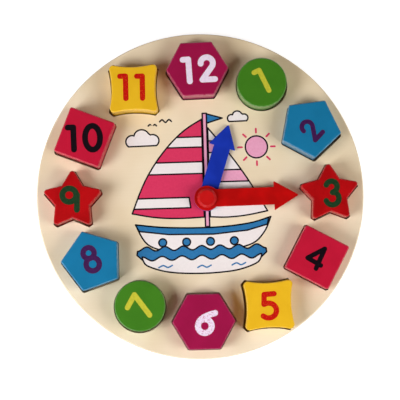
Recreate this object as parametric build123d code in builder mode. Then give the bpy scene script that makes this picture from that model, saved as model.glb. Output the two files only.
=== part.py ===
from build123d import *
import os
from math import atan2, cos, radians, sin

# A wooden teaching clock that doubles as a shape sorter. A round board of two glued plies lies on the
# table. The upper ply has twelve shaped pockets, and a painted number block stands in each. A blue hour
# hand and a red minute hand turn on a snap rivet near the middle.
# Frame: millimetres, +Z up out of the dial, +Y towards twelve o'clock, origin under the board's centre.

# ---- Board ------------------------------------------------------------------------------------------
back_ply_thickness = 3.0  # closes the pockets from below
face_ply_thickness = 5.0  # has the pockets cut right through it
board_edge_chamfer = 0.7  # outer edges, broken by sanding

# ---- Ring of pockets --------------------------------------------------------------------------------
least_bridge = 1.65  # wood left between neighbouring pockets, at the narrowest
rim_width = 1.2  # wood left outside the outermost pocket
dial_shift_x = 0.5  # the dial is cut a little off the centre of the round blank
dial_shift_y = -1.5
pocket_clearance = 0.9  # gap all round a block that stands in the middle of its pocket

# ---- Number blocks ----------------------------------------------------------------------------------
block_thickness = 16.0
block_edge_chamfer = 0.6  # broken edge of the numbered top
block_corner_round = 1.3  # upright corners of the hexagon, pentagon and square
disc_diameter = 33.4
hexagon_radius = 20.9  # centre to corner
pentagon_radius = 20.7  # centre to corner
square_side = 31.8
star_tip_radius = 21.3  # centre to the sharp tip, before rounding
star_notch_radius = 11.9  # centre to the notch between two tips, which is left sharp
star_tip_round = 1.9
curved_square_half = 17.2  # centre line to the sharp corner, before rounding
curved_square_waist = 14.6  # centre to the middle of a hollow side
curved_square_round = 2.8

# ---- Hands ------------------------------------------------------------------------------------------
pivot_offset_x = 3.9  # the pivot hole is drilled off the middle of the ring
pivot_offset_y = -1.8
hand_thickness = 1.8
hand_edge_chamfer = 0.3
hub_radius = 8.4
hand_tip_round = 0.8
hand_barb_clip = 0.45  # cut off the two back corners of the arrow head
hour_hand_reach = 51.8  # pivot to tip
hour_head_length = 16.2
hour_head_width = 18.6
hour_arm_width = 11.3
hour_hand_heading = 71.9  # degrees anticlockwise from three o'clock
minute_tip_clearance = 0.5  # left between the sweeping tip and the nearest block
minute_head_length = 16.7
minute_head_width = 19.7
minute_arm_width = 11.8
minute_hand_heading = 0.5

# ---- Pivot: a headed rivet snaps into a flanged socket from behind -----------------------------------
lower_washer_thickness = 0.8
lower_washer_radius = 7.0
spacer_washer_thickness = 0.6
spacer_washer_radius = 6.0
washer_bore_clearance = 0.15
shank_radius = 2.5
hand_bore_clearance = 0.08  # running fit of a hand on the shank
hand_end_play = 0.1  # lets both hands turn under the cap
cap_radius = 6.5
cap_flat_radius = 4.9  # flat top inside the bevel
cap_rim_height = 1.1
cap_height = 2.7
bead_height = 0.25  # how far the snap bead stands out of the shank
bead_length = 1.2
bead_above_end = 0.9  # from the shank's end to the bead
shank_slot_width = 0.8  # lets the end squeeze as it snaps home
shank_slot_depth = 4.2
socket_fit = 0.05  # radial gap between shank and socket
socket_wall = 1.5
socket_floor = 0.8
socket_flange_radius = 6.4
socket_flange_thickness = 1.2
socket_recess = 0.4  # how far the flange lies inside the board's underside
socket_below_face = 0.4  # the barrel stops short of the dial
socket_hole_clearance = 0.1
shank_end_gap = 0.2  # from the socket's floor to the end of the shank

# ---- Heights and places that follow -----------------------------------------------------------------
face_top = back_ply_thickness + face_ply_thickness
pivot_x = dial_shift_x + pivot_offset_x
pivot_y = dial_shift_y + pivot_offset_y
pivot_axis = Axis((pivot_x, pivot_y, 0), (0, 0, 1))
hour_hand_bottom = face_top + lower_washer_thickness
spacer_bottom = hour_hand_bottom + hand_thickness
minute_hand_bottom = spacer_bottom + spacer_washer_thickness
cap_bottom = minute_hand_bottom + hand_thickness + hand_end_play
socket_radius = shank_radius + socket_fit + socket_wall
socket_hole_radius = socket_radius + socket_hole_clearance
flange_recess_radius = socket_flange_radius + socket_hole_clearance
flange_recess_depth = socket_recess + socket_flange_thickness
shank_end = socket_recess + socket_floor + shank_end_gap
bead_bottom = shank_end + bead_above_end


def disc(gap=0):
    """Round outline."""
    with BuildSketch() as outline:
        Circle(disc_diameter / 2 + gap)
    return outline.sketch


def hexagon(gap=0):
    """Six sides, one corner on +X, so that a flat side is uppermost."""
    with BuildSketch() as outline:
        RegularPolygon(hexagon_radius + gap / cos(radians(30)), 6)
    return outline.sketch


def pentagon(gap=0):
    """Five sides, one corner on +X."""
    with BuildSketch() as outline:
        RegularPolygon(pentagon_radius + gap / cos(radians(36)), 5)
    return outline.sketch


def square(gap=0):
    """Four sides, square to the axes."""
    with BuildSketch() as outline:
        Rectangle(square_side + 2 * gap, square_side + 2 * gap)
    return outline.sketch


def star(gap=0):
    """Five-pointed star, one tip on +X. Its ten sides lie equally far from the middle."""
    tip = Vector(star_tip_radius, 0)
    notch = Vector(star_notch_radius, 0).rotate(Axis.Z, 36)
    side_distance = tip.cross(notch).length / (tip - notch).length
    growth = 1 + gap / side_distance
    points = []
    for number in range(5):
        points.append((tip * growth).rotate(Axis.Z, 72 * number))
        points.append((notch * growth).rotate(Axis.Z, 72 * number))
    with BuildSketch() as outline:
        with BuildLine():
            Polyline(*points, close=True)
        make_face()
    return outline.sketch


def curved_square(gap=0):
    """Square whose four sides curve inwards."""
    sagitta = curved_square_half - curved_square_waist
    side_radius = (curved_square_half**2 + sagitta**2) / (2 * sagitta)
    with BuildSketch() as outline:
        Rectangle(2 * (curved_square_half + gap), 2 * (curved_square_half + gap))
        with PolarLocations(curved_square_waist + side_radius, 4):
            Circle(side_radius - gap, mode=Mode.SUBTRACT)
    return outline.sketch


# Each outline's number of corners, the way its first corner points, and how its corners are rounded on a
# block.
corners = {
    disc: (0, 0, 0),
    hexagon: (6, 0, block_corner_round),
    pentagon: (5, 0, block_corner_round),
    square: (4, 45, block_corner_round),
    star: (5, 0, star_tip_round),
    curved_square: (4, 45, curved_square_round),
}


def block_outline(shape):
    """Outline of a block, with rounded corners."""
    count, _, corner_round = corners[shape]
    with BuildSketch() as outline:
        add(shape())
        if corner_round:
            fillet(outline.vertices().sort_by_distance((0, 0))[-count:], corner_round)
    return outline.sketch


def pocket_outline(shape):
    """Outline of a pocket, larger than its block all round, with each corner cut off flat."""
    count, first_corner, _ = corners[shape]
    corner_reach = (Rotation(0, 0, -first_corner) * block_outline(shape)).bounding_box().max.X
    with BuildSketch() as outline:
        add(shape(pocket_clearance))
        if count:
            RegularPolygon(
                corner_reach + pocket_clearance, count, major_radius=False,
                rotation=first_corner + 180 / count, mode=Mode.INTERSECT,
            )
    return outline.sketch


# Where each number's block stands: its outline, how far it lies outside the ring and anticlockwise along
# it, and the way the outline's +X points, in degrees anticlockwise from three o'clock. The last pair is
# how far the middle of its pocket lies right of and above the block's own middle, since a block stands
# where it was dropped. Lengths are in millimetres. The pockets are sawn by eye, so they are uneven.
pockets = {
    1: (disc, 1.0, 0.0, 0, (0.3, -0.1)),
    2: (pentagon, 1.0, 0.0, 204, (0.5, -0.4)),
    3: (star, 0.5, -1.5, 91, (0.6, 0.2)),
    4: (square, 2.0, 0.0, 151, (0.4, 0.1)),
    5: (curved_square, 0.3, -0.1, 1, (-0.5, -0.1)),
    6: (hexagon, -1.5, -0.5, 0, (0.0, 0.0)),
    7: (disc, -1.5, -0.5, 0, (-0.5, -0.5)),
    8: (pentagon, -1.0, -0.5, 36, (-0.6, -0.4)),
    9: (star, 0.4, 1.0, 89, (-0.5, -0.1)),
    10: (square, 1.8, 2.7, -22, (-0.5, 0.0)),
    11: (curved_square, -0.2, 0.8, 0, (-0.4, 0.1)),
    12: (hexagon, 0.0, 0.0, 1, (0.0, 0.0)),
}


def ring_angle(number):
    """Degrees anticlockwise from three o'clock to the number's hour."""
    return 90 - 30 * number


def reach_along(number, direction):
    """How far the number's pocket reaches from its hour's place on the ring, in a direction on the dial."""
    shape, outwards, along, heading, (slack_x, slack_y) = pockets[number]
    from_ring = radians(direction - ring_angle(number))
    from_dial = radians(direction)
    turned_outline = Rotation(0, 0, heading - direction) * pocket_outline(shape)
    block_middle = outwards * cos(from_ring) + along * sin(from_ring)
    pocket_middle = block_middle + slack_x * cos(from_dial) + slack_y * sin(from_dial)
    return pocket_middle + turned_outline.bounding_box().max.X


# The ring is just large enough to leave the bridge between each pair of neighbours.
pitch = 0
for number in pockets:
    neighbour = number % 12 + 1
    towards_neighbour = ring_angle(number) - 105
    pair_reach = reach_along(number, towards_neighbour) + reach_along(neighbour, towards_neighbour + 180)
    pitch = max(pitch, pair_reach + least_bridge)
ring_radius = pitch / (2 * sin(radians(15)))


def place_on_ring(number):
    """Where the number's block stands on the dial, and how it is turned."""
    _, outwards, along, heading, _ = pockets[number]
    angle = radians(ring_angle(number))
    reach = ring_radius + outwards
    x = dial_shift_x + reach * cos(angle) - along * sin(angle)
    y = dial_shift_y + reach * sin(angle) + along * cos(angle)
    return Location((x, y, 0), (0, 0, heading))


block_outlines = {}
pocket_outlines = {}
for number, (shape, _, _, _, slack) in pockets.items():
    place = place_on_ring(number)
    block_outlines[number] = place * block_outline(shape)
    pocket_outlines[number] = Pos(*slack) * place * pocket_outline(shape)
outermost = max(
    (Rotation(0, 0, -ring_angle(number)) * outline).bounding_box().max.X
    for number, outline in pocket_outlines.items()
)
board_radius = outermost + rim_width

# ---- Back board -------------------------------------------------------------------------------------
with BuildPart() as back_board:
    Cylinder(board_radius, back_ply_thickness, align=(Align.CENTER, Align.CENTER, Align.MIN))
    chamfer(back_board.faces().sort_by(Axis.Z)[0].edges(), board_edge_chamfer)
    with Locations(Plane.XY * Location((pivot_x, pivot_y, 0), (180, 0, 0))):
        CounterBoreHole(socket_hole_radius, flange_recess_radius, flange_recess_depth)
back_board.part.label = "back_board"

# ---- Face board, with the twelve shaped pockets ------------------------------------------------------
with BuildPart() as face_board:
    with BuildSketch(Plane.XY.offset(back_ply_thickness)):
        Circle(board_radius)
        for opening in pocket_outlines.values():
            add(opening, mode=Mode.SUBTRACT)
        with Locations((pivot_x, pivot_y)):
            Circle(socket_hole_radius, mode=Mode.SUBTRACT)
    extrude(amount=face_ply_thickness)
    chamfer(face_board.faces().sort_by(Axis.Z)[-1].outer_wire().edges(), board_edge_chamfer)
face_board.part.label = "face_board"


# ---- Number blocks ----------------------------------------------------------------------------------
def number_block(number):
    """Block that stands on the back board inside its pocket."""
    with BuildPart() as block:
        with BuildSketch(Plane.XY.offset(back_ply_thickness)):
            add(block_outlines[number])
        extrude(amount=block_thickness)
        chamfer(block.faces().sort_by(Axis.Z)[-1].edges(), block_edge_chamfer)
    block.part.label = f"number_block_{number}"
    return block.part


blocks = [number_block(number) for number in pockets]

# The tip of the minute hand passes the nearest block with a set clearance all the way round.
pivot_point = Vector(pivot_x, pivot_y, minute_hand_bottom)
nearest_block = min(block.distance_to(pivot_point) for block in blocks)
minute_hand_reach = nearest_block - minute_tip_clearance


# ---- Hands ------------------------------------------------------------------------------------------
def hand_outline(reach, head_length, head_width, arm_width):
    """Round hub, straight arm and arrow head along +X, with the rounded tip at the reach."""
    half_tip_angle = atan2(head_width / 2, head_length)
    sharp_tip = reach + hand_tip_round * (1 / sin(half_tip_angle) - 1)
    shoulder = sharp_tip - head_length
    with BuildSketch() as outline:
        with BuildLine():
            upper_side = Polyline(
                (0, arm_width / 2), (shoulder, arm_width / 2), (shoulder, head_width / 2), (sharp_tip, 0)
            )
            mirror(upper_side, about=Plane.XZ)
            Line((0, arm_width / 2), (0, -arm_width / 2))
        make_face()
        fillet(outline.vertices().sort_by(Axis.X)[-1], hand_tip_round)
        chamfer([outline.vertices().sort_by(Axis.Y)[end] for end in (0, -1)], hand_barb_clip)
        Circle(hub_radius)
        Circle(shank_radius + hand_bore_clearance, mode=Mode.SUBTRACT)
    return outline.sketch


def hand(name, bottom, heading, outline):
    """Flat moulded hand, with its upper outer edges bevelled."""
    with BuildPart() as blade:
        with BuildSketch(Plane.XY.offset(bottom)):
            add(Location((pivot_x, pivot_y, 0), (0, 0, heading)) * outline)
        extrude(amount=hand_thickness)
        chamfer(blade.faces().sort_by(Axis.Z)[-1].outer_wire().edges(), hand_edge_chamfer)
    blade.part.label = name
    return blade.part


hour_outline = hand_outline(hour_hand_reach, hour_head_length, hour_head_width, hour_arm_width)
minute_outline = hand_outline(minute_hand_reach, minute_head_length, minute_head_width, minute_arm_width)
hour_hand = hand("hour_hand", hour_hand_bottom, hour_hand_heading, hour_outline)
minute_hand = hand("minute_hand", minute_hand_bottom, minute_hand_heading, minute_outline)


# ---- Washers under and between the hands --------------------------------------------------------------
def washer(name, bottom, thickness, radius):
    """Flat ring round the shank."""
    with BuildPart() as ring:
        with BuildSketch(Plane.XY.offset(bottom)):
            with Locations((pivot_x, pivot_y)):
                Circle(radius)
                Circle(shank_radius + washer_bore_clearance, mode=Mode.SUBTRACT)
        extrude(amount=thickness)
    ring.part.label = name
    return ring.part


lower_washer = washer("lower_washer", face_top, lower_washer_thickness, lower_washer_radius)
spacer_washer = washer("spacer_washer", spacer_bottom, spacer_washer_thickness, spacer_washer_radius)

# ---- Snap rivet and its socket, both turned about the pivot -------------------------------------------
half_section = Plane(origin=(pivot_x, pivot_y, 0), x_dir=(1, 0, 0), z_dir=(0, -1, 0))
bead_middle = bead_bottom + bead_length / 2
bead_radius = shank_radius + bead_height

with BuildPart() as pivot_rivet:
    with BuildSketch(half_section):
        with BuildLine():
            Polyline(
                (0, shank_end),
                (shank_radius - bead_height, shank_end),
                (bead_radius, bead_middle),
                (shank_radius, bead_bottom + bead_length),
                (shank_radius, cap_bottom),
                (cap_radius, cap_bottom),
                (cap_radius, cap_bottom + cap_rim_height),
                (cap_flat_radius, cap_bottom + cap_height),
                (0, cap_bottom + cap_height),
                close=True,
            )
        make_face()
    revolve(axis=pivot_axis)
    with Locations((pivot_x, pivot_y, shank_end)):
        Box(
            2 * cap_radius, shank_slot_width, shank_slot_depth,
            align=(Align.CENTER, Align.CENTER, Align.MIN), mode=Mode.SUBTRACT,
        )
pivot_rivet.part.label = "pivot_rivet"

with BuildPart() as rivet_socket:
    bore_radius = shank_radius + socket_fit
    groove_radius = bead_radius + socket_fit
    groove_half = bead_length / 2 + socket_fit
    barrel_top = face_top - socket_below_face
    flange_top = flange_recess_depth
    with BuildSketch(half_section):
        with BuildLine():
            Polyline(
                (0, socket_recess),
                (socket_flange_radius, socket_recess),
                (socket_flange_radius, flange_top),
                (socket_radius, flange_top),
                (socket_radius, barrel_top),
                (bore_radius, barrel_top),
                (bore_radius, bead_middle + groove_half),
                (groove_radius, bead_middle),
                (bore_radius, bead_middle - groove_half),
                (bore_radius, socket_recess + socket_floor),
                (0, socket_recess + socket_floor),
                close=True,
            )
        make_face()
    revolve(axis=pivot_axis)
rivet_socket.part.label = "rivet_socket"

# ---- One file for each piece ------------------------------------------------------------------------
os.makedirs("parts", exist_ok=True)
pieces = [back_board.part, face_board.part, *blocks, hour_hand, minute_hand]
pieces += [lower_washer, spacer_washer, pivot_rivet.part, rivet_socket.part]
for piece in pieces:
    export_step(piece, f"parts/{piece.label}.step")
print(f"{len(pieces)} pieces, ring radius {ring_radius:.2f}, board radius {board_radius:.2f} mm")
print(f"the minute hand reaches {minute_hand_reach:.2f} mm")
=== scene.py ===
# %% [markdown]
# # A wooden teaching clock with twelve painted number blocks
# The object is a flat toy clock. A round plywood board has twelve shaped pockets, a painted wooden block
# stands in each pocket, and two flat plastic hands turn on one rivet. The CAD model already holds every
# solid piece in its true place and size, so Blender adds what a drawing office leaves out: finishes, the
# printed numbers, the printed picture, light and a camera. Everything is in metres.

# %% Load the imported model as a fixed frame
import math
import bpy
import bmesh
from mathutils import Matrix, Vector
from mathutils.geometry import tessellate_polygon


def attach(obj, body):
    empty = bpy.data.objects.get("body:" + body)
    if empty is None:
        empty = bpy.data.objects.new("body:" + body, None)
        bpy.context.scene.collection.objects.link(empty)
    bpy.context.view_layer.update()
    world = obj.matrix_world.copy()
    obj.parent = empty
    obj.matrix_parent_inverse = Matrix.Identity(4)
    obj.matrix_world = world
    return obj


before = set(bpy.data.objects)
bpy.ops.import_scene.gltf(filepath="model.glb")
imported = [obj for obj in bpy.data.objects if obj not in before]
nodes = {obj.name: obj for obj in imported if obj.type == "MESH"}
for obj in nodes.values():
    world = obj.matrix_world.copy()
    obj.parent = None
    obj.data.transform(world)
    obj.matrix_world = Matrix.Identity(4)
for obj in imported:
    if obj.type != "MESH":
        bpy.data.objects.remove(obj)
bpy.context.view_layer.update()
MM = 0.001

# %% [markdown]
# ## Camera
# A camera high above the dial sees it almost flat, with only a trace of perspective. It could be aimed with
# a Track To constraint, but a matrix made of three axes says exactly where it looks, how far it leans from
# straight overhead and how much the picture is turned.

# %% Put the camera high over the dial
aim = Vector((-0.2, -3.96, 8.0)) * MM
camera_distance = 680 * MM
lens_length = 90.95
sensor_width = 36
lean = math.radians(5.5)
roll = math.radians(1.7)
back = Vector((0, -math.sin(lean), math.cos(lean)))
level = Vector((1, 0, 0))
rise = back.cross(level)
right = math.cos(roll) * level - math.sin(roll) * rise
up = math.sin(roll) * level + math.cos(roll) * rise
camera = bpy.data.objects.new("camera", bpy.data.cameras.new("camera"))
bpy.context.scene.collection.objects.link(camera)
axes = Matrix((right, up, back)).transposed().to_4x4()
camera.matrix_world = Matrix.Translation(aim + camera_distance * back) @ axes
camera.data.sensor_width = sensor_width
camera.data.lens = lens_length
bpy.context.scene.camera = camera
print("camera", [round(v, 3) for v in camera.location], "lens", camera.data.lens)

# %% [markdown]
# ## Colours and node helpers
# Paint charts and screens give colours as sRGB hex numbers, while a renderer adds light in linear numbers.
# One function turns the first into the second. A second function adds one shader node and fills its
# settings and links, so that every material below reads as a short list of what it is made of.


# %% Turn a written colour into linear light
def linear(hex_colour):
    """Linear red, green, blue and alpha of an sRGB colour such as "#c81e1e"."""
    channels = [int(hex_colour[start : start + 2], 16) / 255 for start in (1, 3, 5)]
    return [c / 12.92 if c <= 0.04045 else ((c + 0.055) / 1.055) ** 2.4 for c in channels] + [1.0]


def add(material, kind, inputs=None, stops=None, **settings):
    """Adds one node. Inputs are links or constants by socket, and stops are the colours of a ramp."""
    node = material.node_tree.nodes.new(kind)
    for name, value in settings.items():
        setattr(node, name, value)
    for socket, value in (inputs or {}).items():
        if isinstance(value, bpy.types.NodeSocket):
            material.node_tree.links.new(value, node.inputs[socket])
        else:
            node.inputs[socket].default_value = value
    for place, (position, colour) in enumerate(stops or []):
        if place >= len(node.color_ramp.elements):
            node.color_ramp.elements.new(position)
        node.color_ramp.elements[place].position = position
        node.color_ramp.elements[place].color = linear(colour)
    return node


def new_material(name, roughness, ior=1.5, **shader_values):
    """A material with its shader's constants set, and the shader to link patterns to."""
    material = bpy.data.materials.new(name)
    material.use_nodes = True
    shader = material.node_tree.nodes["Principled BSDF"]
    shader.inputs["Roughness"].default_value = roughness
    shader.inputs["IOR"].default_value = ior
    for socket, value in shader_values.items():
        shader.inputs[socket.replace("_", " ")].default_value = value
    return material, shader


def link(material, output, socket):
    material.node_tree.links.new(output, socket)


print("red of a fire engine in linear light:", [round(c, 3) for c in linear("#ce2029")])

# %% [markdown]
# ## Studio
# The clock lies on a white sweep, which a studio makes from a sheet of paper that curves up behind the
# object. It is a surface turned about the vertical, so it stands behind the object from every side. The
# paper is plain diffuse white. Where the camera looks at it directly it also glows a little, so that it
# shows as white paper does in a bright exposure, and the object's own shadow still darkens it.

# %% Turn the paper sweep
def turned_surface(name, profile, sides):
    """A surface of revolution about Z from (radius, height) points, closed where a radius is nought."""
    shell = bmesh.new()
    rings = []
    for radius, height in profile:
        ring = []
        for side in range(sides if radius else 1):
            angle = 2 * math.pi * side / sides
            ring.append(shell.verts.new((radius * math.cos(angle), radius * math.sin(angle), height)))
        rings.append(ring)
    for inner, outer in zip(rings, rings[1:]):
        for side in range(sides):
            after = (side + 1) % sides
            if len(inner) == 1:
                shell.faces.new((inner[0], outer[side], outer[after]))
            else:
                shell.faces.new((inner[side], outer[side], outer[after], inner[after]))
    mesh = bpy.data.meshes.new(name)
    shell.to_mesh(mesh)
    shell.free()
    mesh.shade_smooth()
    surface = bpy.data.objects.new(name, mesh)
    bpy.context.scene.collection.objects.link(surface)
    return surface


flat_radius = 1.6
sweep_bend = 0.7
wall_height = 2.2
bend_steps = 12
sweep_sides = 96
# The paper lies a hair under the board, because two surfaces in one place flicker.
paper_top = -0.05 * MM
sweep_profile = [(0, paper_top), (0.2, paper_top), (flat_radius, paper_top)]
for step in range(1, bend_steps + 1):
    angle = math.pi / 2 * step / bend_steps
    sweep_profile.append((flat_radius + sweep_bend * math.sin(angle), sweep_bend * (1 - math.cos(angle))))
sweep_profile.append((flat_radius + sweep_bend, wall_height))
sweep = turned_surface("paper_sweep", sweep_profile, sweep_sides)
print("paper sweep", flat_radius + sweep_bend, "m in radius")

# %% [markdown]
# The paper's material asks what kind of ray has met it. Light that bounces off the clock meets plain matt
# paper, so the clock isn't lit by a glowing floor. A ray from the camera, or one that a glossy or clear
# surface sends on, meets the glowing mixture, so reflections show the same white room as the picture does.

# %% Mix the background paper
paper_glow = 0.85
paper, paper_shader = new_material("white_background_paper", roughness=0.9)
paper_shader.inputs["Base Color"].default_value = linear("#ebebeb")
seen_white = add(paper, "ShaderNodeEmission", {"Color": linear("#ffffff"), "Strength": paper_glow})
seen_paper = add(paper, "ShaderNodeBsdfDiffuse", {"Color": linear("#a4a4a4")})
seen = add(paper, "ShaderNodeAddShader", {0: seen_white.outputs[0], 1: seen_paper.outputs[0]})
ray = add(paper, "ShaderNodeLightPath")
direct_look = ray.outputs["Is Camera Ray"]
for other_look in ("Is Glossy Ray", "Is Transmission Ray"):
    either = add(paper, "ShaderNodeMath", {0: direct_look, 1: ray.outputs[other_look]}, operation="MAXIMUM")
    direct_look = either.outputs[0]
paper_mix = add(
    paper, "ShaderNodeMixShader", {0: direct_look, 1: paper_shader.outputs[0], 2: seen.outputs[0]}
)
link(paper, paper_mix.outputs[0], paper.node_tree.nodes["Material Output"].inputs["Surface"])
sweep.data.materials.append(paper)
print("paper glows at", paper_glow, "of white")

# %% [markdown]
# ## Light
# Two large soft boxes stand low on the left and on the right of the dial, both a little towards six
# o'clock. Each fills the other's shadows, so a block that stands alone has a pale soft shadow on either
# side, while the narrow gaps between neighbours, which neither lamp reaches, go dark. Lamps this near
# leave the twelve o'clock end with a little less light. Both are hidden from gloss, as crossed polarisers
# would do it, because their glare would bleach the enamel in a view against the light, and a dimmer card
# beside the left one draws the thin highlight along the edges. A weak card at the front lights the walls
# that face six o'clock. The room itself gives a plain ambient light. It is warm, since it comes back from
# walls and wood, and it turns the shadows brown.

# %% Hang the lamps and set the room
lamp_distance = 0.8
room_glow = 0.095


def soft_box(name, azimuth, elevation, size, watts, colour, on_matt=True, in_gloss=True):
    """A square area light that faces the dial, from a direction measured anticlockwise from +X."""
    across, high = math.radians(azimuth), math.radians(elevation)
    direction = Vector((math.cos(across) * math.cos(high), math.sin(across) * math.cos(high), math.sin(high)))
    lamp = bpy.data.objects.new(name, bpy.data.lights.new(name, "AREA"))
    lamp.data.size = size
    lamp.data.energy = watts
    lamp.data.color = linear(colour)[:3]
    lamp.location = direction * lamp_distance
    lamp.rotation_euler = direction.to_track_quat("Z", "Y").to_euler()
    lamp.visible_camera = False
    lamp.visible_diffuse = on_matt
    lamp.visible_glossy = in_gloss
    bpy.context.scene.collection.objects.link(lamp)


soft_box("left_soft_box", 203, 36, size=0.45, watts=6.5, colour="#fcfbff", in_gloss=False)
soft_box("right_soft_box", 337, 36, size=0.45, watts=4.6, colour="#fdfbf6", in_gloss=False)
soft_box("front_card", 252, 16, size=0.4, watts=0.6, colour="#e4ecff")
soft_box("sheen_card", 218, 40, size=0.5, watts=3.2, colour="#fdfbfb", on_matt=False)
room = bpy.data.worlds.new("warm_room")
room.use_nodes = True
room.node_tree.nodes["Background"].inputs["Color"].default_value = linear("#ffae6c")
room.node_tree.nodes["Background"].inputs["Strength"].default_value = room_glow
bpy.context.scene.world = room
bpy.context.scene.view_settings.view_transform = "Standard"

# %% [markdown]
# ## Birch plywood under clear lacquer
# The board is two plies of birch plywood. Its face veneer is rotary cut, sanded and sprayed with clear
# lacquer, which gives a pale, even cream with very faint fibre streaks and cloudy patches, and the face
# turns slightly yellower from six o'clock to twelve. The sawn edges show the veneers as stripes, because
# every other one is end grain. The stripes are worked out from the height, since a veneer is about a
# millimetre thick, and the sanded corner keeps the face's colour. The walls of the openings are painted
# darker than the outer rim, as painted shade for the narrow gaps round the blocks. Birch fibres are finer
# than a tenth of a millimetre, which would never show, so the streaks are drawn much coarser.

# %% Mix the plywood
fibre_width = 0.6 * MM
fibre_length = 26 * MM
cloud_size = 38 * MM
veneer_thickness = 1.0 * MM
veneer_half_width = 110 * MM
# Walls within this radius, the walls of the openings, get painted shade.
shaded_walls_within = 107 * MM
fibre_relief = 0.02 * MM
glue_share = 0.12  # of a veneer's thickness
# Painted shade on those walls: this share of the darker wall colour given below.
wall_shade_share = 0.75
glue_colour = "#b99a6e"
wall_shade_colour = "#5c3d22"
tint_at_twelve = "#fffcf4"
face_above = 0.5


def plywood(name, pale, tanned, end_grain, roughness, streak):
    """Sanded plywood whose face runs along X and whose edges show the veneers."""
    wood, shader = new_material(name, roughness, Specular_IOR_Level=0.3)
    place = add(wood, "ShaderNodeTexCoord")
    along = add(
        wood, "ShaderNodeMapping",
        {"Vector": place.outputs["Object"], "Scale": (1 / fibre_length, 1 / fibre_width, 1 / fibre_width)},
    )
    fibre = add(wood, "ShaderNodeTexNoise", {"Vector": along.outputs[0], "Scale": 1.0, "Detail": 3.0})
    cloud = add(
        wood, "ShaderNodeTexNoise",
        {"Vector": place.outputs["Object"], "Scale": 1 / cloud_size, "Detail": 2.0},
    )
    fibre_share = add(wood, "ShaderNodeMath", {0: fibre.outputs[0], 1: streak}, operation="MULTIPLY")
    tone = add(
        wood, "ShaderNodeMath",
        {0: cloud.outputs[0], 1: 1.0 - streak, 2: fibre_share.outputs[0]}, operation="MULTIPLY_ADD",
    )
    even = add(wood, "ShaderNodeValToRGB", {0: tone.outputs[0]}, stops=[(0.3, tanned), (0.68, pale)])
    # The face turns slightly yellower from six o'clock to twelve.
    spot = add(wood, "ShaderNodeSeparateXYZ", {0: place.outputs["Object"]})
    towards_twelve = add(
        wood, "ShaderNodeMapRange",
        {"Value": spot.outputs["Y"], "From Min": -veneer_half_width, "From Max": veneer_half_width},
    )
    face = add(
        wood, "ShaderNodeMix", {0: towards_twelve.outputs[0], 6: even.outputs[0], 7: linear(tint_at_twelve)},
        data_type="RGBA", blend_type="MULTIPLY",
    )
    # Stripes up the edge: whole veneers alternate, with a thin dark glue line between them.
    veneer = add(
        wood, "ShaderNodeMath", {0: spot.outputs["Z"], 1: 1 / veneer_thickness}, operation="MULTIPLY"
    )
    within = add(wood, "ShaderNodeMath", {0: veneer.outputs[0], 1: 1.0}, operation="FLOORED_MODULO")
    pair = add(wood, "ShaderNodeMath", {0: veneer.outputs[0], 1: 2.0}, operation="FLOORED_MODULO")
    cross_veneer = add(wood, "ShaderNodeMath", {0: pair.outputs[0], 1: 1.0}, operation="GREATER_THAN")
    stripe = add(
        wood, "ShaderNodeMix",
        {0: cross_veneer.outputs[0], 6: face.outputs[2], 7: linear(end_grain)}, data_type="RGBA",
    )
    is_glue = add(wood, "ShaderNodeMath", {0: within.outputs[0], 1: glue_share}, operation="LESS_THAN")
    sawn = add(
        wood, "ShaderNodeMix",
        {0: is_glue.outputs[0], 6: stripe.outputs[2], 7: linear(glue_colour)}, data_type="RGBA",
    )
    # Every wall inside the rim is painted darker, as painted shade for the narrow gaps round the blocks.
    radius = add(wood, "ShaderNodeVectorMath", {0: place.outputs["Object"]}, operation="LENGTH")
    inside = add(
        wood, "ShaderNodeMath", {0: radius.outputs["Value"], 1: shaded_walls_within}, operation="LESS_THAN"
    )
    wall_shade = add(wood, "ShaderNodeMath", {0: inside.outputs[0], 1: wall_shade_share}, operation="MULTIPLY")
    edge = add(
        wood, "ShaderNodeMix",
        {0: wall_shade.outputs[0], 6: sawn.outputs[2], 7: linear(wall_shade_colour)}, data_type="RGBA",
    )
    # A surface that leans less than 60 degrees from flat counts as a face, and the rest as an edge.
    facing = add(wood, "ShaderNodeSeparateXYZ", {0: place.outputs["Normal"]})
    flatness = add(wood, "ShaderNodeMath", {0: facing.outputs["Z"]}, operation="ABSOLUTE")
    is_face = add(wood, "ShaderNodeMath", {0: flatness.outputs[0], 1: face_above}, operation="GREATER_THAN")
    colour = add(
        wood, "ShaderNodeMix",
        {0: is_face.outputs[0], 6: edge.outputs[2], 7: face.outputs[2]}, data_type="RGBA",
    )
    bump = add(
        wood, "ShaderNodeBump", {"Height": fibre.outputs[0], "Strength": 0.25, "Distance": fibre_relief}
    )
    link(wood, colour.outputs[2], shader.inputs["Base Color"])
    link(wood, bump.outputs[0], shader.inputs["Normal"])
    return wood


lacquered_birch = plywood("lacquered_birch_plywood", "#ece1c9", "#e0d1b2", "#dcc49a", 0.42, 0.14)
bare_birch = plywood("bare_birch_plywood", "#e3d1ad", "#d2b98f", "#c7a878", 0.62, 0.5)
print("mixed", lacquered_birch.name, "and", bare_birch.name)

# %% [markdown]
# A CAD solid keeps its own mesh, so its finish is only a matter of handing it a material. The upper ply is
# lacquered, and the back ply, which nobody looks at, was left bare.


# %% Finish the board's two plies
def finish_node(name, material):
    """Gives a CAD node one material."""
    nodes[name].data.materials.clear()
    nodes[name].data.materials.append(material)


finish_node("face_board", lacquered_birch)
finish_node("back_board", bare_birch)
print("the board is", [nodes[ply].data.materials[0].name for ply in ("face_board", "back_board")])
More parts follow.
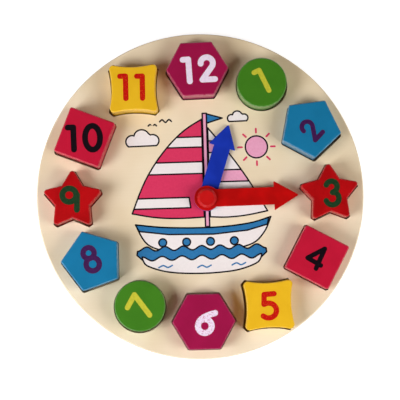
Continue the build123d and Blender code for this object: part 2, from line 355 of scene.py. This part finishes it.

# %% [markdown]
# ## Gloss enamel on the blocks
# The blocks are sawn from soft wood, tumbled to break their edges, and dipped in gloss enamel. The enamel
# has an index of 1.5 like most resins, follows the wood under it a little in soft ripples about 2 mm apart,
# and is thinnest along the edges. There a paler line is partly worn enamel, where the wood shows through,
# and partly a painted highlight. The sawn sides are paler too, partly from thin enamel and partly as a
# painted reflection of the pale room seen at a grazing angle, though less so in the reds and the yellow.
# The Bevel node rounds the edges for the light only, since the real ones are rounder than one flat chamfer.

# %% Mix the six enamels
peel_size = 2.2 * MM
drift_size = 14 * MM
peel_depth = 0.02 * MM
edge_radius = 0.55 * MM
side_below = 0.35
chamfer_from = 0.6
top_above = 0.9


def gloss_enamel(name, colour, shade, thin_and_sheen, side_thin_and_sheen):
    """Enamel on wood: its colour, a darker drift, and paler edges and sides, partly wear and thin enamel,
    partly painted highlight and reflection.
    """
    enamel, shader = new_material(name, 0.26, Specular_IOR_Level=0.3)
    place = add(enamel, "ShaderNodeTexCoord")
    drift = add(
        enamel, "ShaderNodeTexNoise",
        {"Vector": place.outputs["Object"], "Scale": 1 / drift_size, "Detail": 3.0},
    )
    body = add(enamel, "ShaderNodeValToRGB", {0: drift.outputs[0]}, stops=[(0.36, shade), (0.6, colour)])
    peel = add(
        enamel, "ShaderNodeTexNoise",
        {"Vector": place.outputs["Object"], "Scale": 1 / peel_size, "Detail": 1.0},
    )
    # The chamfer lies between the flat top and the upright sides, and only it turns paler: partly rubbed
    # enamel, partly a painted highlight.
    facing = add(enamel, "ShaderNodeSeparateXYZ", {0: place.outputs["Normal"]})
    tilt = add(
        enamel, "ShaderNodeMapRange",
        {"Value": facing.outputs["Z"], "From Min": side_below, "From Max": chamfer_from},
    )
    not_top = add(enamel, "ShaderNodeMath", {0: facing.outputs["Z"], 1: top_above}, operation="LESS_THAN")
    edge = add(enamel, "ShaderNodeMath", {0: tilt.outputs[0], 1: not_top.outputs[0]}, operation="MULTIPLY")
    wear_and_highlight = add(
        enamel, "ShaderNodeMapRange",
        {"Value": peel.outputs[0], "From Min": 0.35, "From Max": 0.65, "To Min": 0.02, "To Max": 0.16},
    )
    worn_and_highlight = add(enamel, "ShaderNodeMath", {0: edge.outputs[0], 1: wear_and_highlight.outputs[0]}, operation="MULTIPLY")
    # The sides show their share of the paler tone, partly thin enamel and partly a painted reflection, a
    # fifth more or less of it from spot to spot.
    flatness = add(enamel, "ShaderNodeMath", {0: facing.outputs["Z"]}, operation="ABSOLUTE")
    is_side = add(enamel, "ShaderNodeMath", {0: flatness.outputs[0], 1: side_below}, operation="LESS_THAN")
    least, most = 0.8 * side_thin_and_sheen, 1.2 * side_thin_and_sheen
    soaked_and_sheen = add(
        enamel, "ShaderNodeMapRange",
        {"Value": peel.outputs[0], "From Min": 0.35, "From Max": 0.65, "To Min": least, "To Max": most},
    )
    thinned_and_sheen = add(
        enamel, "ShaderNodeMath",
        {0: is_side.outputs[0], 1: soaked_and_sheen.outputs[0], 2: worn_and_highlight.outputs[0]}, operation="MULTIPLY_ADD",
    )
    colours = add(
        enamel, "ShaderNodeMix",
        {0: thinned_and_sheen.outputs[0], 6: body.outputs[0], 7: linear(thin_and_sheen)}, data_type="RGBA",
    )
    rounded = add(enamel, "ShaderNodeBevel", {"Radius": edge_radius}, samples=6)
    bump = add(
        enamel, "ShaderNodeBump",
        {"Height": peel.outputs[0], "Strength": 0.2, "Distance": peel_depth, "Normal": rounded.outputs[0]},
    )
    link(enamel, colours.outputs[2], shader.inputs["Base Color"])
    link(enamel, bump.outputs[0], shader.inputs["Normal"])
    return enamel


# The last two of each enamel: its paler colour, and the share of it on the sides, partly thin enamel and
# partly painted reflection.
enamels = {
    "green": gloss_enamel("green_gloss_enamel", "#3e7c1f", "#3b781e", "#b9cf9c", 0.25),
    "blue": gloss_enamel("blue_gloss_enamel", "#1675a2", "#14719c", "#b5d3de", 0.25),
    "red": gloss_enamel("red_gloss_enamel", "#b10c13", "#a0090f", "#d9665c", 0.06),
    "crimson": gloss_enamel("crimson_gloss_enamel", "#bc1837", "#b61634", "#eca0a4", 0.06),
    "yellow": gloss_enamel("yellow_gloss_enamel", "#e7b924", "#e2b321", "#f7e39a", 0.1),
    "magenta": gloss_enamel("magenta_gloss_enamel", "#9a1547", "#941343", "#e5a3b8", 0.22),
}
# The six colours go round the dial twice.
block_enamels = dict(zip(range(1, 13), 2 * list(enamels)))
for number, enamel in block_enamels.items():
    finish_node(f"number_block_{number}", enamels[enamel])
print("enamels", block_enamels)

# %% [markdown]
# ## Moulded plastics
# The hands are coloured polypropylene and the rivet is dyed nylon, both injection moulded in a polished
# tool, so they are smooth and glossy, with only a faint uneven sheen where the plastic shrank. The washers
# are undyed nylon, which is milky, and the socket at the back is off-white satin nylon.

# %% Mix the plastics
hollow_size = 9 * MM
moulded_edge = 0.3 * MM


def moulded_plastic(name, colour, shade, roughness, ior, sink_depth):
    """Injection-moulded plastic, with the slow hollows that cooling leaves."""
    plastic, shader = new_material(name, roughness, ior, Specular_IOR_Level=0.3)
    place = add(plastic, "ShaderNodeTexCoord")
    sink = add(
        plastic, "ShaderNodeTexNoise",
        {"Vector": place.outputs["Object"], "Scale": 1 / hollow_size, "Detail": 1.0},
    )
    tint = add(plastic, "ShaderNodeValToRGB", {0: sink.outputs[0]}, stops=[(0.35, shade), (0.65, colour)])
    rounded = add(plastic, "ShaderNodeBevel", {"Radius": moulded_edge}, samples=6)
    bump = add(
        plastic, "ShaderNodeBump",
        {"Height": sink.outputs[0], "Strength": 0.4, "Distance": sink_depth, "Normal": rounded.outputs[0]},
    )
    link(plastic, tint.outputs[0], shader.inputs["Base Color"])
    link(plastic, bump.outputs[0], shader.inputs["Normal"])
    return plastic


polypropylene, nylon = 1.49, 1.53
plastics = {
    "hour_hand": ("blue_moulded_polypropylene", "#1736af", "#132fa0", 0.3, polypropylene, 0.05 * MM),
    "minute_hand": ("red_moulded_polypropylene", "#bc0a0c", "#aa090a", 0.3, polypropylene, 0.05 * MM),
    "pivot_rivet": ("bright_red_moulded_nylon", "#c8181a", "#ba1416", 0.26, nylon, 0.03 * MM),
    "lower_washer": ("undyed_nylon_lower_washer", "#e6e0d0", "#dcd5c2", 0.45, nylon, 0.02 * MM),
    "spacer_washer": ("undyed_nylon_spacer", "#e6e0d0", "#dcd5c2", 0.45, nylon, 0.02 * MM),
    "rivet_socket": ("satin_off_white_nylon", "#e6e6e1", "#deded8", 0.45, nylon, 0.03 * MM),
}
for node_name, recipe in plastics.items():
    finish_node(node_name, moulded_plastic(*recipe))
print("plastics on", sorted(plastics))

# %% [markdown]
# ## Printed ink as a thin film
# The numbers and the picture are screen printed: ink is squeezed through a mesh and dries as a film a few
# hundredths of a millimetre thick. Each print here is a real film, a closed mesh with a top, a bottom and
# a side wall, cut from flat outlines. A painted-on image would need a picture file, and a film also keeps
# its sharp edge however near the viewer comes.


# %% Cut a film from flat outlines
def film(name, shapes, bottom, thickness, material, body):
    """A closed thin mesh from shapes in millimetres, each a list of loops: its outline, then its holes."""
    sheet = bmesh.new()
    for loops in shapes:
        corners = [[Vector((x, y, 0)) for x, y in loop] for loop in loops]
        flat = [point for loop in corners for point in loop]
        low = [sheet.verts.new((p.x * MM, p.y * MM, bottom * MM)) for p in flat]
        high = [sheet.verts.new((p.x * MM, p.y * MM, (bottom + thickness) * MM)) for p in flat]
        for a, b, c in tessellate_polygon(corners):
            if (flat[b] - flat[a]).cross(flat[c] - flat[a]).z < 0:
                b, c = c, b
            sheet.faces.new((high[a], high[b], high[c]))
            sheet.faces.new((low[c], low[b], low[a]))
        first = 0
        for loop in corners:
            for place in range(len(loop)):
                here, there = first + place, first + (place + 1) % len(loop)
                sheet.faces.new((low[here], low[there], high[there], high[here]))
            first += len(loop)
    bmesh.ops.recalc_face_normals(sheet, faces=sheet.faces[:])
    mesh = bpy.data.meshes.new(name)
    sheet.to_mesh(mesh)
    sheet.free()
    mesh.materials.append(material)
    piece = bpy.data.objects.new(name, mesh)
    bpy.context.scene.collection.objects.link(piece)
    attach(piece, body)
    return piece


def arc(centre, radius, start, end, steps=16):
    """Points along an arc, from one angle to another in degrees. The radius may be a pair, for an ellipse."""
    across, high = radius if isinstance(radius, tuple) else (radius, radius)
    angles = [math.radians(start + (end - start) * step / steps) for step in range(steps + 1)]
    return [(centre[0] + across * math.cos(a), centre[1] + high * math.sin(a)) for a in angles]


curve_steps = 6


def smooth(points):
    """A flowing curve that goes through all the points, from the first to the last."""
    curve = []
    last = len(points) - 1
    for place in range(last):
        four = (points[max(place - 1, 0)], *points[place : place + 2], points[min(place + 2, last)])
        for t in (step / curve_steps for step in range(curve_steps)):
            curve.append(tuple(
                0.5 * (
                    2 * b + (c - a) * t + (2 * a - 5 * b + 4 * c - d) * t**2 + (3 * b - a - 3 * c + d) * t**3
                )
                for a, b, c, d in zip(*four)
            ))
    return curve + [points[-1]]


print("a quarter circle has", len(arc((0, 0), 1, 0, 90)), "points")

# %% [markdown]
# A stroke of lettering is a line with a width and round ends. Its outline is the line moved half a width to
# the left, a half circle round the end, and the line moved half a width to the right on the way back. On
# the outside of a sharp bend the outline swings round the bend point, and on the inside it is mitred.

# %% Turn a centre line into a stroke's outline
sharp_bend = 0.35
swing_step = 0.2
cap_steps = 12


def left_side(path, half, closed):
    """The path moved to its left by half a stroke."""
    points = [Vector(p) for p in path]
    side = []
    for place, point in enumerate(points):
        before = points[place - 1] if place or closed else None
        after = points[(place + 1) % len(points)] if place + 1 < len(points) or closed else None
        into = (point - before).normalized() if before else None
        out = (after - point).normalized() if after else None
        into, out = into or out, out or into
        into_left, out_left = Vector((-into.y, into.x)), Vector((-out.y, out.x))
        turn = math.atan2(into.x * out.y - into.y * out.x, into.dot(out))
        if turn < -sharp_bend:
            start = math.atan2(into_left.y, into_left.x)
            steps = max(2, round(-turn / swing_step))
            angles = [start + turn * step / steps for step in range(steps + 1)]
            side += [point + half * Vector((math.cos(a), math.sin(a))) for a in angles]
        else:
            side.append(point + (into_left + out_left) * (half / (1 + into_left.dot(out_left))))
    return side


def stroke(path, width, closed=False):
    """The outline loops of a stroke with round ends, or of a ring if the path is closed."""
    half = width / 2
    left = left_side(path, half, closed)
    right = left_side(path[::-1], half, closed)
    if closed:
        longer, shorter = sorted((left, right), key=lambda side: -max(p.x for p in side))
        return [[tuple(p) for p in longer], [tuple(p) for p in shorter]]
    loop = []
    for side, end, before in ((left, path[-1], path[-2]), (right, path[0], path[1])):
        along = math.atan2(end[1] - before[1], end[0] - before[0])
        cap = [along + math.pi / 2 - math.pi * step / cap_steps for step in range(1, cap_steps)]
        loop += side + [Vector(end) + half * Vector((math.cos(a), math.sin(a))) for a in cap]
    return [[tuple(p) for p in loop]]


print("a plain stroke has", len(stroke([(0, 0), (10, 0)], 3)[0]), "corners")

# %% [markdown]
# ## The numbers
# All twelve numbers are in one rounded hand. Each numeral is a few centre lines in an upright frame, in
# millimetres, each marked as closed or not, and each block then says where the numeral sits from the
# block's middle, how far it is turned, its size and its stroke width. Blocks were printed by hand in a jig,
# so no two sit quite alike.

# %% Draw the numerals' centre lines
numerals = {
    "0": [(arc((0, 0), (5.0, 8.05), 0, 350, 35), True)],
    "1": [([(-3.7, 7.5), (0, 7.5), (0, -7.5)], False)],
    "2": [(arc((-0.2, 3.6), 4.1, 182, -33) + [(-3.6, -7.5), (4.8, -7.5)], False)],
    "3": [
        (arc((0.0, 4.3), 3.65, 161, -62) + [(0.5, 0.35)], False),
        ([(0.5, 0.35)] + arc((0.2, -3.5), 4.35, 80, -160), False),
    ],
    "4": [([(2.3, -7.3), (2.3, 7.0), (-5.6, -3.1)], False), ([(-5.6, -3.1), (4.3, -4.1)], False)],
    "5": [
        ([(3.7, 7.3), (-2.9, 6.9), (-3.2, 0.5)], False),
        (arc((-0.3, -3.6), (5.2, 4.85), 122, -134), False),
    ],
    "6": [
        (arc((0, -2.9), 4.5, 0, 350, 35), True),
        (smooth([(-4.4, -3.4), (-4.0, -0.7), (-1.6, 2.1), (2.2, 4.0), (7.0, 5.4)]), False),
    ],
    "7": [([(-4.6, 6.9), (4.6, 6.9), (-2.0, -7.8)], False)],
    "8": [(arc((0, 3.9), 3.65, 0, 350, 35), True), (arc((0, -3.9), 4.35, 0, 350, 35), True)],
    "9": [(arc((0, 3.3), (4.6, 4.5), 0, 350, 35), True), ([(5.2, 3.4), (4.9, -6.6)], False)],
}
# Each entry: numeral, right of and above the block's middle, degrees anticlockwise, size, stroke in mm.
number_prints = {
    1: [("1", 1.5, 1.2, 23.9, 1.01, 3.4)],
    2: [("2", 0.1, -1.9, 46.0, 0.89, 3.1)],
    3: [("3", 1.2, 0.0, 0.0, 1.0, 3.7)],
    4: [("4", 0.0, 0.0, -26.2, 1.0, 3.1)],
    5: [("5", -0.2, 0.0, 0.0, 1.0, 3.5)],
    6: [("6", 0.5, 0.0, 0.0, 1.0, 3.9)],
    7: [("7", 0.4, -0.3, 60.0, 1.03, 3.5)],
    8: [("8", -0.8, 1.4, 19.5, 1.0, 3.6)],
    9: [("9", -1.8, 0.0, 0.0, 1.0, 3.9)],
    10: [("1", -7.1, -0.9, 1.0, 1.0, 3.9), ("0", 5.5, -0.8, 1.3, 1.0, 3.9)],
    11: [("1", -5.1, 0.7, 0.0, 1.01, 3.6), ("1", 6.1, 0.45, -0.4, 1.0, 3.6)],
    12: [("1", -5.5, -1.05, 2.6, 1.0, 3.9), ("2", 6.8, -0.1, 1.3, 1.0, 3.9)],
}
print("numbers to print:", len(number_prints))

# %% [markdown]
# ## Printing inks
# Screen ink is a vinyl or acrylic resin full of pigment, drying to a soft sheen. It is a little uneven,
# since it is pressed through a mesh on to wood that isn't quite flat. The mesh has threads a tenth of a
# millimetre apart, too fine to show, so the mottle is drawn coarser. Some ink has small flecks, where the
# colour missed and what lies under it shows: plainly on the six, and faintly on the five and the eleven.

# %% Mix the inks
mesh_mottle = 1.6 * MM
fleck_size = 0.75 * MM
ink_relief = 0.01 * MM


def screen_ink(name, colour, shade, flecks=None, missed_share=0.75):
    """Dried screen ink. Flecks is the colour that shows through in small spots, by the share given."""
    ink, shader = new_material(name, 0.4, 1.49, Specular_IOR_Level=0.2)
    place = add(ink, "ShaderNodeTexCoord")
    mottle = add(
        ink, "ShaderNodeTexNoise",
        {"Vector": place.outputs["Object"], "Scale": 1 / mesh_mottle, "Detail": 3.0},
    )
    tint = add(ink, "ShaderNodeValToRGB", {0: mottle.outputs[0]}, stops=[(0.36, shade), (0.6, colour)])
    shown = tint.outputs[0]
    if flecks:
        spots = add(
            ink, "ShaderNodeTexNoise",
            {"Vector": place.outputs["Object"], "Scale": 1 / fleck_size, "Detail": 1.0},
        )
        missed = add(
            ink, "ShaderNodeMapRange",
            {"Value": spots.outputs[0], "From Min": 0.57, "From Max": 0.66, "To Max": missed_share},
        )
        mixed = add(
            ink, "ShaderNodeMix", {0: missed.outputs[0], 6: shown, 7: linear(flecks)}, data_type="RGBA"
        )
        shown = mixed.outputs[2]
    bump = add(ink, "ShaderNodeBump", {"Height": mottle.outputs[0], "Strength": 0.3, "Distance": ink_relief})
    link(ink, shown, shader.inputs["Base Color"])
    link(ink, bump.outputs[0], shader.inputs["Normal"])
    return ink


number_inks = {
    "green": screen_ink("yellow_screen_ink", "#c3c239", "#b8b634"),
    "blue": screen_ink("violet_screen_ink", "#411b4f", "#381746"),
    "red": screen_ink("bottle_green_screen_ink", "#1c3c23", "#17321c"),
    "crimson": screen_ink("black_screen_ink", "#110912", "#0d070e"),
    "yellow": screen_ink("scarlet_screen_ink", "#c4120e", "#b50f0b", "#e0801f", 0.25),
    "magenta": screen_ink("white_screen_ink", "#eadff0", "#e2d6ea"),
}
worn_white = screen_ink("worn_white_screen_ink", "#eadff0", "#e0d0e8", "#b9497f")
print("number inks", sorted(number_inks))

# %% [markdown]
# ## Print each number on its block
# A number has to sit on its own block wherever the CAD puts it, so its place is measured from the block's
# top face. The middle of that face is its centre of area, which a star or a five-sided block shares with
# its outline, while the middle of its box isn't the same point. Where two strokes of one number cross, the
# second film is a little thinner than the first, so that no two tops lie in one plane.

# %% Find each block's middle and lay the number on it
number_film = 0.02  # mm of ink
lap_step = 0.004  # mm
flat_within = 0.01 * MM


def top_middle(node):
    """Centre of area of a node's highest flat face, in millimetres, and its height."""
    mesh = nodes[node].data
    top = max(v.co.z for v in mesh.vertices)
    area, middle = 0, Vector((0, 0, 0))
    for face in mesh.polygons:
        if face.center.z > top - flat_within:
            area += face.area
            middle += face.area * face.center
    return middle.x / area / MM, middle.y / area / MM, top / MM


def placed(path, x, y, turn, size):
    """A path turned, scaled and moved to its place."""
    c, s = size * math.cos(math.radians(turn)), size * math.sin(math.radians(turn))
    return [(x + c * px - s * py, y + s * px + c * py) for px, py in path]


for number, prints in number_prints.items():
    middle_x, middle_y, top = top_middle(f"number_block_{number}")
    enamel = block_enamels[number]
    ink = worn_white if number == 6 else number_inks[enamel]
    lap = 0
    for numeral, x, y, turn, size, width in prints:
        for path, closed in numerals[numeral]:
            line = placed(path, middle_x + x, middle_y + y, turn, size)
            part = film(
                f"number_{number}_print_{lap + 1}", [stroke(line, width, closed)],
                top, number_film - lap * lap_step, ink, f"number_block_{number}",
            )
            lap += 1

# %% [markdown]
# ## The picture on the dial
# The middle of the dial carries a printed picture in the same kind of ink: here a plain sailing boat, with
# flat fields of raspberry, blue, off-white and pink inside black lines. Its shapes are outlines in
# millimetres on the dial, and they stop short of the washer under the hands. The sails come first. Each is
# bounded by smooth edges and by an arc that keeps clear of the washer.

# %% Draw the mast and the sails
pivot = (4.4, -3.3)
keep_clear = 7.6
mast_half = 1.4
mast_left, mast_right = pivot[0] - mast_half, pivot[0] + mast_half
clear_angle = math.degrees(math.acos(2.0 / keep_clear))
leech = smooth([(2.4, 51), (-11, 42.5), (-25, 28), (-37, 9.5), (-46, -12)])
stay = smooth([(6.4, 45), (19, 29), (32, 10), (45, -12.5)])
mainsail = (
    leech + smooth([(-46, -12), (-30, -15), (-14, -16), (2.4, -15.5)])[1:]
    + arc(pivot, keep_clear, 180 + clear_angle, 180 - clear_angle, 12)
)
jib = (
    stay + smooth([(45, -12.5), (31, -15), (18, -16), (6.4, -15.5)])[1:]
    + arc(pivot, keep_clear, -clear_angle, clear_angle, 12)
)
masts = [
    [(mast_left, low), (mast_right, low), (mast_right, high), (mast_left, high)]
    for low, high in ((-22, -11.2), (4.6, 55))
]
pennant = [(5.8, 54.6), (16.5, 51.4), (5.8, 48.2)]
print("the mainsail has", len(mainsail), "points and the jib", len(jib))

# %% [markdown]
# The sails are striped. A stripe lies between two heights and runs from the sail's sloping edge to the
# mast, so its end follows the edge, point by point. The lowest stripe of the mainsail ends before the
# washer.

# %% Cut the stripes from the sails
def between(edge, high, low):
    """The stretch of a falling line between two heights."""
    stretch = []
    for (x0, y0), (x1, y1) in zip(edge, edge[1:]):
        for height in (high, low):
            if y1 <= height < y0:
                stretch.append((x0 + (x1 - x0) * (y0 - height) / (y0 - y1), height))
        if low < y1 < high:
            stretch.append((x1, y1))
    return stretch


sail_bands = [between(leech, high, low) + [(2.4, low), (2.4, high)] for high, low in ((39, 32), (22, 14))]
sail_bands.append(between(leech, -2, -9) + [(-6.5, -9), (-7.5, -2)])
jib_bands = [between(stay, high, low) + [(6.4, low), (6.4, high)] for high, low in ((36, 28), (16, 8))]
print("stripes:", len(sail_bands), "in the mainsail and", len(jib_bands), "in the jib")

# %% [markdown]
# The hull hangs from one deck line, and the blue rail follows the same line. The water is two bands with
# waved tops. A cosine keeps the crests round, and its ends are cut upright, so that the black line round
# a band has no thin spikes.

# %% Draw the hull and the water
wave_rise = 1.4
deck = smooth([(-44, -19.5), (-22, -22), (8, -22.6), (32, -20.5), (47, -16.5)])
keel = smooth([(47, -16.5), (42, -27), (32, -35), (8, -38.5), (-20, -38), (-36, -33), (-44, -19.5)])
hull = deck + keel[1:-1]
rail = deck[:-1] + [(44.6, -21.5), (31, -25.2), (8, -27.2), (-22, -26.6), (-41.6, -24)]
portholes = [arc((x, -32), 2.6, 0, 345, 23) for x in (-26, -10, 6, 22)]


def waves(height, half_width, swells):
    """A row of waves from left to right, with one point for each millimetre."""
    return [
        (x, height + wave_rise * math.cos(math.pi * x * swells / half_width))
        for x in range(-half_width, half_width + 1)
    ]


seabed = [(39.6, -43.5), (36, -47.5), (22, -51.8), (0, -53.2), (-22, -51.8), (-36, -47.5), (-39.6, -43.5)]
far_water = waves(-36, 43, 7) + [(43.4, -40), (39, -44), (-39, -44), (-43.4, -40)]
near_water = waves(-42.5, 40, 6) + smooth(seabed)
ripples = [
    smooth([(x - 5, y), (x - 2, y + 1.3), (x + 1, y), (x + 4, y + 1.3)])
    for x, y in ((-24, -48.6), (2, -49.2), (25, -48.2))
]
print("the hull is", round(max(x for x, y in deck) - min(x for x, y in deck)), "mm long")

# %% [markdown]
# A sun, two clouds and two gulls fill the sky. Clouds and gulls are drawn once and placed with the same
# function that turns and places a numeral.

# %% Draw the sky
sun_middle = (39, 31)
sun = arc(sun_middle, 7.5, 0, 350, 35)
sun_rays = [
    [(sun_middle[0] + reach * math.cos(a), sun_middle[1] + reach * math.sin(a)) for reach in (9.8, 12.4)]
    for a in (math.radians(step) for step in range(0, 360, 45))
]


def cloud(x, y, size):
    """Three puffs on a flat base."""
    puffs = arc((-7, 0), 4.2, 235, 70) + arc((-0.5, 2.6), 5.4, 150, 30) + arc((7, 0.3), 4.2, 110, -55)
    return placed(puffs, x, y, 0, size)


def gull(x, y, size):
    """Two wings in one line."""
    return placed(smooth([(-4, 0.6), (-2.2, 1.9), (0, 0), (2.2, 1.9), (4, 0.6)]), x, y, 0, size)


clouds = [cloud(-38, 37, 1.0), cloud(27, 51, 0.62)]
gulls = [gull(-22, 49.5, 1.0), gull(-31, 47, 0.7)]
print("in the sky:", len(sun_rays), "rays,", len(clouds), "clouds and", len(gulls), "gulls")

# %% [markdown]
# A print like this is made in passes, one screen after another, so each pass is one film, and lies a little
# higher than the one before. The colours of the boat come first, then the black lines round them, and then
# the water in the same way, which covers the foot of the hull. A line round a field is a stroke that closes
# on itself, while a gull or a ripple has two ends.

# %% Print the picture in passes
board_top = 8.0  # mm
line_width = 1.05
ray_width = 1.3
ripple_width = 1.0
picture_inks = {
    "raspberry": screen_ink("raspberry_screen_ink", "#d43961", "#d0365e"),
    "blue": screen_ink("mid_blue_screen_ink", "#2f77ae", "#2b71a7"),
    "off_white": screen_ink("off_white_screen_ink", "#eae6e6", "#e7e3e3"),
    "pink": screen_ink("soft_pink_screen_ink", "#e5a4c2", "#e19dbc"),
    "black": screen_ink("line_black_screen_ink", "#14121a", "#0f0d14"),
}
outlined = [mainsail, jib, hull, rail, pennant, sun] + masts + portholes + clouds + sail_bands + jib_bands
boat_lines = [stroke(shape, line_width, closed=True) for shape in outlined]
boat_lines += [stroke(shape, line_width) for shape in gulls]
# Each pass: its ink, how high its top lies over the board in mm, and its shapes.
passes = [
    ("raspberry", 0.008, [[mainsail]] + [stroke(ray, ray_width) for ray in sun_rays]),
    ("off_white", 0.010, [[shape] for shape in (jib, hull, *sail_bands, *clouds)]),
    ("pink", 0.012, [[shape] for shape in (sun, *masts, *jib_bands)]),
    ("blue", 0.014, [[shape] for shape in (rail, pennant, *portholes)]),
    ("black", 0.017, boat_lines),
    ("blue", 0.020, [[far_water]]),
    ("black", 0.023, [stroke(far_water, line_width, closed=True)]),
    ("off_white", 0.026, [[near_water]]),
    ("blue", 0.029, [stroke(ripple, ripple_width) for ripple in ripples]),
    ("black", 0.032, [stroke(near_water, line_width, closed=True)]),
]
for lap, (ink, thickness, shapes) in enumerate(passes):
    part = film(f"picture_pass_{lap + 1}_{ink}", shapes, board_top, thickness, picture_inks[ink], "board")
print("the picture is printed in", len(passes), "passes")
